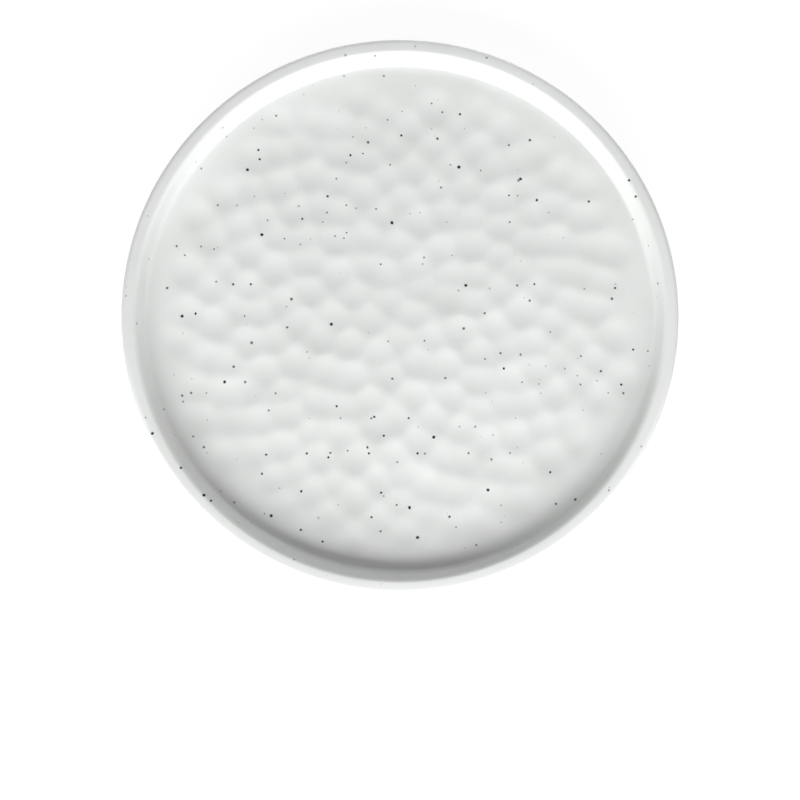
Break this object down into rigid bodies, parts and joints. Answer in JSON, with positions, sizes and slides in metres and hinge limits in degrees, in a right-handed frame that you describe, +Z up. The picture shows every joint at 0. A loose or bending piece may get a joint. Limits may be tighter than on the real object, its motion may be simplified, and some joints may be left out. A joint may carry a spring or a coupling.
{
  "type": "plate",
  "caption": "Round stoneware plate with a low upright wall, soft-edged lip, hammered well, set-in foot and speckled satin glaze, for serving food.",
  "frame": {"origin": "centre of the foot ring, on the plane that the plate stands on", "axes": "+Z up through the middle of the well; X and Y lie in the table plane and are interchangeable"},
  "size_m": [0.205, 0.205, 0.0174],
  "materials": {
    "bare_clay": "unglazed fired stoneware, dry and fine-grained",
    "speckled_glaze": "satin white glaze with small dark iron specks"
  },
  "bodies": {
    "root": {"clay_body": "bare_clay", "face_glaze": "speckled_glaze", "base_glaze": "speckled_glaze"}
  },
  "joints": []
}
